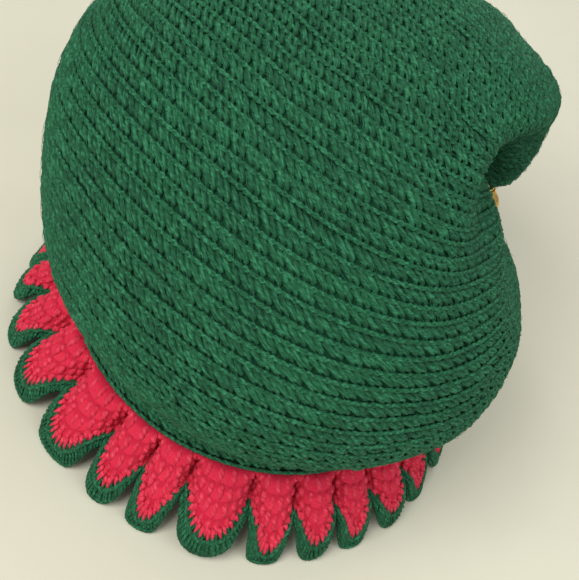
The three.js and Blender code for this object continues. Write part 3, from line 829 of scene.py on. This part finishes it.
class ELFHAT_OT_crown(bpy.types.Operator):
    """Makes the green crown: its cloth, its rounds of double crochet and its loose fibres"""

    bl_idname = "elfhat.crown"
    bl_label = "Crown"

    def execute(self, context):
        sizes = context.scene.elf_hat_sizes
        green, light, dark = shades(context, "green")
        rng = np.random.default_rng(sizes.seed)
        cloth, run = bag_cloth()
        yarn = plied_yarn("Plied acrylic yarn, green", green, light, dark)
        rounds = round(run * MM / sizes.row_height)
        stitch = sizes.stitch_width / MM
        row = cloth.tall / rounds
        # The crown's cloth is painted in the shade colour throughout, so that the gaps between the stitches
        # read as painted shade.
        back = matted_cloth("Matted acrylic in painted shade, green", dark, green, dark, stitch, row)
        blank("crown_cloth", [laid(cloth, **CROWN_BACK)], back, "green_yarn", "crown")
        wide = [(cloth.length(i / rounds) + cloth.length((i + 1) / rounds)) / 2 for i in range(rounds)]
        counts = [max(FEWEST, round(w / stitch)) for w in wide]
        made = np.concatenate([[0], np.cumsum(counts)]) / sum(counts)
        names = ("crown_lower_rounds", "crown_middle_rounds", "crown_upper_rounds")
        bands = [[] for _ in names]
        for i, count in enumerate(counts):
            low, high = i / rounds, (i + 1) / rounds
            bands[int(len(names) * made[i])] += stitch_round(cloth, low, high, count, CROWN_SHAPE, rng)
        for name, parts in zip(names, bands):
            blank(name, parts, yarn, "green_yarn")
        # The loose fibres are painted in the highlight colour, as painted highlights, and take the yarn's
        # green as their painted shade.
        fluff = plied_yarn("Loose acrylic fibres, green", light, light, green, silk=FLUFF_SILK)
        blank("crown_fibres", [loose_fibres(cloth, sizes.fibres, rng)], fluff, "green_yarn")
        print("crown", rounds, "rounds", sum(counts), "stitches")
        return {"FINISHED"}


# A single crochet of the frill: across in stitch widths, up in row heights, and how far out as a share.
BEAD = np.array([(0.0, 0.04, -0.6), (0.02, 0.3, 0.85), (0.08, 0.66, 1.0), (0.16, 0.98, -0.5)])
BEAD_SWELL = np.array([0.75, 1.05, 1.05, 0.7])
# How far it stands off and how wide it is in mm, how its height sets its painted shade in the material, and
# how it varies.
BEAD_SHAPE = {
    "out": 0.75, "rise": 0.35, "width": 1.5, "height": 1.6, "sway_across": 0.06, "sway_up": 0.04,
    "sway_out": 0.12, "sway_width": 0.08,
}


class ELFHAT_OT_ruffle(bpy.types.Operator):
    """Makes the red frill: its cloth and its rounds of single crochet on both faces"""

    bl_idname = "elfhat.ruffle"
    bl_label = "Ruffle"

    def execute(self, context):
        sizes = context.scene.elf_hat_sizes
        reds = shades(context, "red")
        rng = np.random.default_rng(sizes.seed + 2)
        cloth = frill_cloth(0.0, 1.0 - EDGING_SHARE, RED_ROWS)
        rounds = round(cloth.tall * MM / sizes.red_height)
        stitch = sizes.red_width / MM
        row = cloth.tall / rounds
        red = matted_cloth("Brushed acrylic, red", *reds, stitch, row)
        yarn = plied_yarn("Plied acrylic yarn, red", *reds, silk=RED_SILK)
        blank("ruffle_cloth", [laid(cloth, **RED_BACK)], red, "red_yarn", "ruffle")
        shape = BEAD_SHAPE
        for face, name in ((1, "ruffle_outer_stitches"), (-1, "ruffle_inner_stitches")):
            parts = []
            for i in range(rounds):
                count = round(cloth.length((i + 0.5) / rounds) / stitch)
                sway = rng.normal(0, 1, (count, 4))
                across = np.arange(count)[:, None] + i / 2 + BEAD[:, 0]
                u = (across + shape["sway_across"] * sway[:, :1]) / count
                v = (i + BEAD[:, 1] + shape["sway_up"] * sway[:, 1:2]) / rounds
                n = face * (shape["out"] + shape["rise"] * BEAD[:, 2] + shape["sway_out"] * sway[:, 2:3])
                width = shape["width"] * BEAD_SWELL * (1 + shape["sway_width"] * sway[:, 3:4])
                high = BEAD[:, 2] * shape["height"] + 0 * u
                parts.append(run_of_yarn(cloth, u, v, n, width, sway[:, 0], high, sides=4))
            blank(name, parts, yarn, "red_yarn")
        print("ruffle", rounds, "rounds")
        return {"FINISHED"}


# An edging stitch runs over the free edge from face to face: up the edging's height, and mm off the cloth.
RIB = np.array(
    [
        (0.10, 0.8), (0.20, 1.6), (0.42, 1.9), (0.66, 1.7), (0.88, 1.3), (0.96, 0.0),
        (0.88, -1.3), (0.66, -1.7), (0.42, -1.9), (0.20, -1.6), (0.10, -0.8),
    ]
)
TOOTH = np.array([(-0.3, 1.1), (0.04, 1.9), (0.22, 2.3), (0.42, 2.2)])
TOOTH_SWELL = np.array([1.3, 1.35, 0.9, 0.25])
# The two strands of an edging stitch: lead in stitches and radius in mm.
RIB_STRANDS = ((0.0, 0.95), (0.48, 0.8))
RIB_LEAN = 0.5
# The chains along the edging: up its height, mm off the cloth; then their half width, depth and radius.
EDGING_CHAINS = ((0.97, 0.0), (0.45, 2.4), (0.45, -2.4))
EDGING_CHAIN_SHAPE = (0.05, 0.4, 0.85)


class ELFHAT_OT_edging(bpy.types.Operator):
    """Makes the green edging of the frill, and the red stitch tops that show between its stitches"""

    bl_idname = "elfhat.edging"
    bl_label = "Edging"

    def execute(self, context):
        sizes = context.scene.elf_hat_sizes
        rng = np.random.default_rng(sizes.seed + 1)
        cloth = frill_cloth(1.0 - BORDER_SHARE, 1.0, EDGING_ROWS)
        count = round(cloth.length(0.6) * MM / sizes.rib_pitch)
        yarn = plied_yarn("Plied acrylic yarn, edging", *shades(context, "green"))
        sway = rng.normal(0, 1, (count, 3))
        k = np.arange(count)[:, None]
        parts = [on_floor(laid(cloth, **EDGING_BACK))]
        for lead, width in RIB_STRANDS:
            face = np.sign(RIB[:, 1] + 0.01)
            u = (k + 0.5 + lead + RIB_LEAN * RIB[:, 0] * face + 0.1 * sway[:, :1]) / count
            v = RIB[:, 0] + 0.02 * sway[:, 1:2]
            n = RIB[:, 1] + 0 * u
            swell = width * (1 + 0.08 * sway[:, 2:])
            # The rib's height, least where it turns over the free edge, sets its painted shade.
            strand = run_of_yarn(cloth, u, v, n, swell, sway[:, 2], np.abs(n) - 0.4, sides=4)
            parts.append(on_floor(strand))
        blank("edging_ribs", parts, yarn, "green_edging_yarn", "ruffle_edging")
        chains = []
        wide, deep, radius = EDGING_CHAIN_SHAPE
        for v, n in EDGING_CHAINS:
            chains += twisted_pair(cloth, v, count, 0.0, wide, n, deep, radius)
        blank("edging_chains", [on_floor(part) for part in chains], yarn, "green_edging_yarn")
        red = plied_yarn("Plied acrylic yarn, red tops", *shades(context, "red"), silk=RED_SILK)
        teeth = []
        for face in (1, -1):
            u = (k + 0.25 + 0.25 * face + 0.3 * TOOTH[:, 0] + 0.08 * sway[:, :1]) / count
            n = face * (TOOTH[:, 1] + 0 * u)
            width = TOOTH_SWELL * (1 + 0.1 * sway[:, 1:2])
            teeth.append(run_of_yarn(cloth, u, TOOTH[:, 0] + 0 * u, n, width, sway[:, 2], 0 * u + 1.0))
        blank("ruffle_tops", teeth, red, "red_yarn")
        print("edging", count, "stitches")
        return {"FINISHED"}


# The bell and its tie in mm: radii, walls and how far the eye is sunk into the ball.
BELL = {
    "radius": 10.0, "wall": 0.7, "slot": 2.4, "eye": 2.6, "wire": 0.7, "sink": 1.0, "hole": 1.9,
    "seam": 0.4, "soft_edge": 0.12,
}
BALL_STEPS = (48, 24)
HOLE_STEPS = 24
SEAM_STEPS = 64
EYE_STEPS = 32
WIRE_SIDES = 12
SHARP = math.radians(50)
SMOOTH = math.radians(35)
TIE = {"loop": 2.6, "yarn": 1.05, "offset": 3.1, "knot": 1.1, "knot_yarn": 0.6}
TIE_POINTS = 33
TIE_SIDES = 8
TIE_TONE = 0.4
TIE_HEIGHT = 1.2
TIE_LAY = 6.0


def eye_centre():
    """The middle of the bell's wire eye, in mm."""
    low, high = (np.array(corner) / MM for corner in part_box("bell"))
    middle = (low + high) / 2
    middle[2] = high[2] - BELL["eye"] - BELL["wire"]
    return middle


class ELFHAT_OT_bell(bpy.types.Operator):
    """Makes the jingle bell: a thin pressed ball with a seam, crossed round-ended slots and a wire eye"""

    bl_idname = "elfhat.bell"
    bl_label = "Bell"

    def execute(self, context):
        hues = context.scene.elf_hat_colours
        eye = eye_centre()
        radius = BELL["radius"]
        middle = eye - (0, 0, radius + BELL["eye"] - BELL["sink"])
        bpy.ops.object.select_all(action="DESELECT")
        segments, rings = BALL_STEPS
        bpy.ops.mesh.primitive_uv_sphere_add(
            segments=segments, ring_count=rings, radius=radius * MM, location=middle * MM
        )
        ball = context.active_object
        ball.name = "bell_ball"
        modified(ball, "SOLIDIFY", thickness=BELL["wall"] * MM, offset=-1)
        for turn in (0, math.pi / 2):
            size = np.array((3 * radius, BELL["slot"], radius)) * MM
            place = (middle - (0, 0, radius)) * MM
            bpy.ops.mesh.primitive_cube_add(size=1, location=place, rotation=(0, 0, turn), scale=size)
            cut_away(ball, context.active_object)
            ahead = np.array((math.cos(turn), math.sin(turn), 0))
            bpy.ops.mesh.primitive_cylinder_add(
                vertices=HOLE_STEPS,
                radius=BELL["hole"] * MM,
                depth=3 * radius * MM,
                location=(middle - (0, 0, radius / 2)) * MM,
                rotation=Vector(ahead).to_track_quat("Z", "Y").to_euler(),
            )
            cut_away(ball, context.active_object)
        width = BELL["soft_edge"] * MM
        modified(ball, "BEVEL", width=width, segments=2, limit_method="ANGLE", angle_limit=SHARP)
        seam = (middle, radius, BELL["seam"], SEAM_STEPS, 0.0)
        wire = (eye, BELL["eye"], BELL["wire"], EYE_STEPS, math.pi / 2)
        pieces = [ball]
        for place, wide, thick, steps, tilt in (seam, wire):
            bpy.ops.mesh.primitive_torus_add(
                location=place * MM,
                rotation=(tilt, 0, 0),
                major_segments=steps,
                minor_segments=WIRE_SIDES,
                major_radius=wide * MM,
                minor_radius=thick * MM,
            )
            pieces.append(context.active_object)
        for piece in pieces:
            piece.select_set(True)
        context.view_layer.objects.active = ball
        bpy.ops.object.join()
        bpy.ops.object.transform_apply(location=True, rotation=True, scale=True)
        bpy.ops.object.shade_smooth_by_angle(angle=SMOOTH)
        dressed(ball, tumbled_brass("Tumbled brass", hues.brass, hues.brass_worn), "brass", "bell")
        return {"FINISHED"}


class ELFHAT_OT_tie(bpy.types.Operator):
    """Makes the loop of yarn that holds the bell, with its small knot"""

    bl_idname = "elfhat.tie"
    bl_label = "Tie"

    def execute(self, context):
        middle = eye_centre() + (0, 0, TIE["offset"])
        turn = np.linspace(-math.pi / 2, 3 * math.pi / 2, TIE_POINTS)
        ring = np.stack([0 * turn, np.cos(turn), np.sin(turn)], -1)
        knot = np.stack([np.cos(2 * turn), 0.6 * np.sin(2 * turn), 0.3 * np.cos(turn)], -1)
        parts = []
        loop = (ring, TIE["loop"], TIE["yarn"], 0.0)
        tied = (knot, TIE["knot"], TIE["knot_yarn"], TIE["loop"])
        for path, wide, yarn, lift in (loop, tied):
            paths = (middle + wide * path + (0, 0, lift))[None]
            out = np.broadcast_to(np.array((1.0, 0.3, 0.2)), paths.shape)
            height = 0 * turn + TIE_HEIGHT
            parts.append(sweep(paths, out, yarn, TIE_TONE, height, sides=TIE_SIDES, caps=False))
        yarn = plied_yarn("Plied acrylic yarn, tie", *shades(context, "green"), lay=TIE_LAY)
        blank("tie_loop", parts, yarn, "tie_yarn", "bell_tie")
        return {"FINISHED"}


# The camera as the photo has it: metres, radians, and the lights as name, place, size, power and colour.
TARGET_HEIGHT = 0.083
DISTANCE = 0.52
ELEVATION = math.radians(45)
ROLL = math.radians(26)
LENS = 65.87
SHIFT = (0.006, -0.057)
LAMPS = (
    ("key", (-0.55, -0.75, 1.15), 0.7, 15.5, (1.0, 0.98, 0.94)),
    ("fill", (0.9, -0.5, 0.8), 1.2, 5.0, (0.95, 0.98, 1.0)),
    ("rim", (0.1, 1.1, 0.9), 1.0, 5.0, (1.0, 1.0, 1.0)),
)
FLOOR_SIZE = 6.0
FLOOR_DROP = 0.0002
FLOOR_COLOUR = "#d9d7c6"
FLOOR_GRAIN = "#d6d4c3"
SKY_COLOUR = "#f4f2ea"
SKY_STRENGTH = 0.5


class ELFHAT_OT_stage(bpy.types.Operator):
    """Sets the floor, the lights and the camera"""

    bl_idname = "elfhat.stage"
    bl_label = "Stage"

    def execute(self, context):
        bpy.ops.object.select_all(action="DESELECT")
        bpy.ops.mesh.primitive_plane_add(size=FLOOR_SIZE, location=(0, 0, -FLOOR_DROP))
        floor = context.active_object
        floor.name = "floor"
        bpy.ops.object.transform_apply(location=True)
        board = painted_board("Painted board", linear(FLOOR_COLOUR), linear(FLOOR_GRAIN))
        floor.data.materials.append(board)
        target = Vector((PLACE[0] * MM, PLACE[1] * MM, TARGET_HEIGHT))
        for name, place, size, power, colour in LAMPS:
            lamp = bpy.data.lights.new(name, "AREA")
            lamp.size = size
            lamp.energy = power
            lamp.color = colour
            holder = bpy.data.objects.new(name, lamp)
            holder.location = place
            holder.rotation_euler = (Vector(place) - target).to_track_quat("Z", "Y").to_euler()
            context.scene.collection.objects.link(holder)
        world = bpy.data.worlds.new("studio")
        world.use_nodes = True
        sky = world.node_tree.nodes["Background"]
        sky.inputs["Color"].default_value = linear(SKY_COLOUR)
        sky.inputs["Strength"].default_value = SKY_STRENGTH
        context.scene.world = world
        camera = bpy.data.cameras.new("camera")
        camera.lens = LENS
        camera.shift_x, camera.shift_y = SHIFT
        holder = bpy.data.objects.new("camera", camera)
        back = Vector((0, -math.cos(ELEVATION), math.sin(ELEVATION)))
        right = Vector((1, 0, 0))
        up = back.cross(right)
        across = math.cos(ROLL) * right + math.sin(ROLL) * up
        above = -math.sin(ROLL) * right + math.cos(ROLL) * up
        turn = Matrix((across, above, back)).transposed().to_4x4()
        holder.matrix_world = Matrix.Translation(target + DISTANCE * back) @ turn
        context.scene.collection.objects.link(holder)
        context.scene.camera = holder
        context.scene.view_settings.view_transform = "Standard"
        return {"FINISHED"}


class ELFHAT_PT_panel(bpy.types.Panel):
    """Lists the hat's pieces in the sidebar"""

    bl_label = "Elf hat"
    bl_idname = "ELFHAT_PT_panel"
    bl_space_type = "VIEW_3D"
    bl_region_type = "UI"
    bl_category = "Elf hat"

    def draw(self, context):
        for group in (context.scene.elf_hat_sizes, context.scene.elf_hat_colours):
            for key in group.bl_rna.properties.keys():
                if key not in ("rna_type", "name"):
                    self.layout.prop(group, key)
        for operator in OPERATORS:
            self.layout.operator(operator.bl_idname)


OPERATORS = (
    ELFHAT_OT_crown,
    ELFHAT_OT_ruffle,
    ELFHAT_OT_edging,
    ELFHAT_OT_bell,
    ELFHAT_OT_tie,
    ELFHAT_OT_stage,
)
CLASSES = (HatSizes, HatColours, *OPERATORS, ELFHAT_PT_panel)


def register():
    """Registers the add-on's classes and its settings"""
    for kind in CLASSES:
        bpy.utils.register_class(kind)
    bpy.types.Scene.elf_hat_sizes = PointerProperty(type=HatSizes)
    bpy.types.Scene.elf_hat_colours = PointerProperty(type=HatColours)


def unregister():
    """Takes the add-on's settings and classes away again"""
    del bpy.types.Scene.elf_hat_sizes
    del bpy.types.Scene.elf_hat_colours
    for kind in reversed(CLASSES):
        bpy.utils.unregister_class(kind)


def main():
    """Makes every piece in order"""
    register()
    for operator in OPERATORS:
        group, name = operator.bl_idname.split(".")
        getattr(getattr(bpy.ops, group), name)()


if __name__ == "__main__":
    main()
